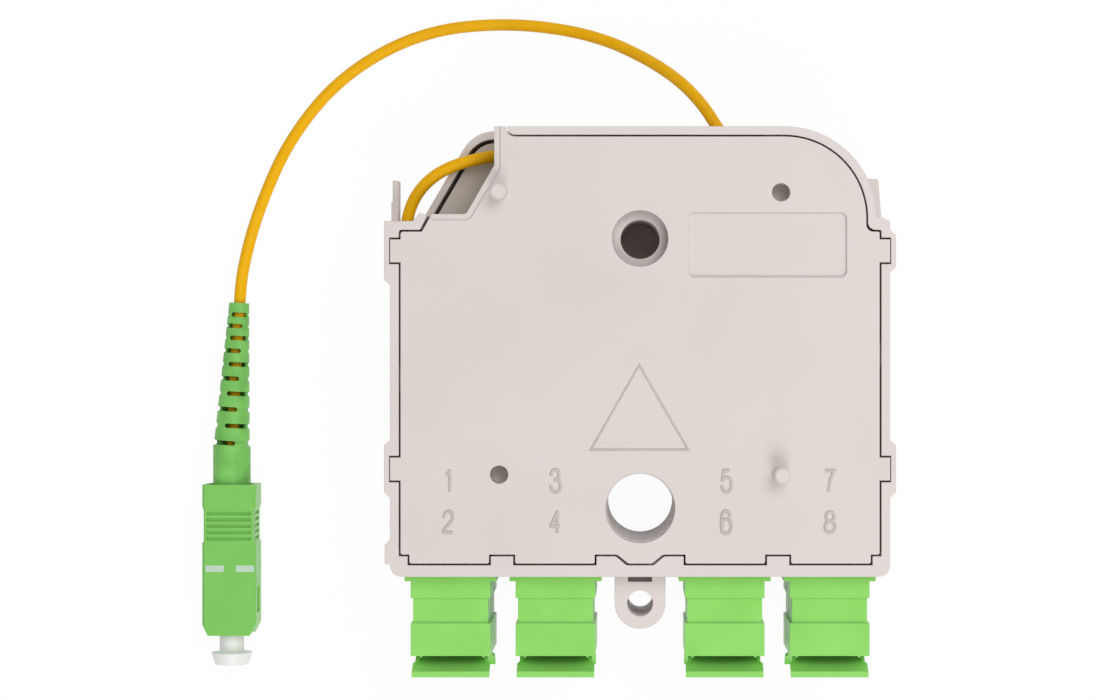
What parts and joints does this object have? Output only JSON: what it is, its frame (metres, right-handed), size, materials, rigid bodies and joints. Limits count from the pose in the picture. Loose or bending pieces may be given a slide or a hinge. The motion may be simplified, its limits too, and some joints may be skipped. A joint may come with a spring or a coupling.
{
  "type": "plc fibre splitter",
  "caption": "Flat cassette that splits one fibre among shuttered SC/APC adapters along its front edge, with a thin input cord ending in a capped SC/APC plug.",
  "frame": {"origin": "axis of the through hole on the back face; the cassette lies on its back on z = 0", "axes": "+X to the right seen from the cover, +Y away from the adapters towards the rear wall, +Z out of the cover"},
  "size_m": [0.1149, 0.1106, 0.029],
  "materials": {
    "shell_plastic": "fine-grained moulded light warm grey",
    "tray_plastic": "plain moulded light grey",
    "green_plastic": "smooth moulded light green",
    "boot_rubber": "soft green elastomer",
    "cord_jacket": "satin orange-yellow jacket",
    "cap_plastic": "soft white moulded cap",
    "fibre_coating": "satin white buffer tube",
    "frame_plastic": "smooth dark inner frame",
    "ceramic": "polished white ceramic",
    "spring_steel": "bare spring wire",
    "crimp_metal": "plain crimped sleeve",
    "package_steel": "plain drawn tube"
  },
  "bodies": {
    "root": {"base_shell": "shell_plastic", "cover": "shell_plastic", "fibre_tray": "tray_plastic", "splitter_package": "package_steel", "input_fibre": "fibre_coating", "output_fibres": "fibre_coating", "cord_clamp": "frame_plastic", "sleeve_holders": "frame_plastic", "split_sleeves": "ceramic", "inner_plugs": "frame_plastic", "inner_boots": "boot_rubber", "inner_ferrules": "ceramic", "cord": "cord_jacket", "boot": "boot_rubber", "crimp_ring": "crimp_metal", "plug_frame": "green_plastic", "ferrule_spring": "spring_steel", "adapter_1": "green_plastic", "shutter_spring_1": "spring_steel", "adapter_2": "green_plastic", "shutter_spring_2": "spring_steel", "adapter_3": "green_plastic", "shutter_spring_3": "spring_steel", "adapter_4": "green_plastic", "shutter_spring_4": "spring_steel", "adapter_5": "green_plastic", "shutter_spring_5": "spring_steel", "adapter_6": "green_plastic", "shutter_spring_6": "spring_steel", "adapter_7": "green_plastic", "shutter_spring_7": "spring_steel", "adapter_8": "green_plastic", "shutter_spring_8": "spring_steel"},
    "shutter_1": {"shutter_1": "green_plastic"},
    "shutter_2": {"shutter_2": "green_plastic"},
    "shutter_3": {"shutter_3": "green_plastic"},
    "shutter_4": {"shutter_4": "green_plastic"},
    "shutter_5": {"shutter_5": "green_plastic"},
    "shutter_6": {"shutter_6": "green_plastic"},
    "shutter_7": {"shutter_7": "green_plastic"},
    "shutter_8": {"shutter_8": "green_plastic"},
    "plug_grip": {"plug_grip": "green_plastic"},
    "ferrule": {"ferrule": "ceramic"},
    "dust_cap": {"dust_cap": "cap_plastic"}
  },
  "joints": [
    {"name": "shutter_1_hinge", "type": "hinge", "parent": "root", "child": "shutter_1", "pos_m": [-0.0308, -0.0221, 0.01435], "axis": [1, 0, 0], "range_deg": [0, 61], "stiffness_Nm_per_rad": 0.0001, "springref_deg": -20},
    {"name": "shutter_2_hinge", "type": "hinge", "parent": "root", "child": "shutter_2", "pos_m": [-0.0308, -0.0221, 0.01065], "axis": [-1, 0, 0], "range_deg": [0, 61], "stiffness_Nm_per_rad": 0.0001, "springref_deg": -20},
    {"name": "shutter_3_hinge", "type": "hinge", "parent": "root", "child": "shutter_3", "pos_m": [-0.01375, -0.0221, 0.01435], "axis": [1, 0, 0], "range_deg": [0, 61], "stiffness_Nm_per_rad": 0.0001, "springref_deg": -20},
    {"name": "shutter_4_hinge", "type": "hinge", "parent": "root", "child": "shutter_4", "pos_m": [-0.01375, -0.0221, 0.01065], "axis": [-1, 0, 0], "range_deg": [0, 61], "stiffness_Nm_per_rad": 0.0001, "springref_deg": -20},
    {"name": "shutter_5_hinge", "type": "hinge", "parent": "root", "child": "shutter_5", "pos_m": [0.01375, -0.0221, 0.01435], "axis": [1, 0, 0], "range_deg": [0, 61], "stiffness_Nm_per_rad": 0.0001, "springref_deg": -20},
    {"name": "shutter_6_hinge", "type": "hinge", "parent": "root", "child": "shutter_6", "pos_m": [0.01375, -0.0221, 0.01065], "axis": [-1, 0, 0], "range_deg": [0, 61], "stiffness_Nm_per_rad": 0.0001, "springref_deg": -20},
    {"name": "shutter_7_hinge", "type": "hinge", "parent": "root", "child": "shutter_7", "pos_m": [0.0308, -0.0221, 0.01435], "axis": [1, 0, 0], "range_deg": [0, 61], "stiffness_Nm_per_rad": 0.0001, "springref_deg": -20},
    {"name": "shutter_8_hinge", "type": "hinge", "parent": "root", "child": "shutter_8", "pos_m": [0.0308, -0.0221, 0.01065], "axis": [-1, 0, 0], "range_deg": [0, 61], "stiffness_Nm_per_rad": 0.0001, "springref_deg": -20},
    {"name": "plug_grip_slide", "type": "slide", "parent": "root", "child": "plug_grip", "axis": [0, 1, 0], "range_m": [0, 0.0008]},
    {"name": "ferrule_slide", "type": "slide", "parent": "root", "child": "ferrule", "axis": [0, 1, 0], "range_m": [0, 0.0009], "stiffness_N_per_m": 4000, "springref_m": -0.002},
    {"name": "dust_cap_pull", "type": "slide", "parent": "ferrule", "child": "dust_cap", "axis": [0, -1, 0], "range_m": [0, 0.0095]}
  ]
}
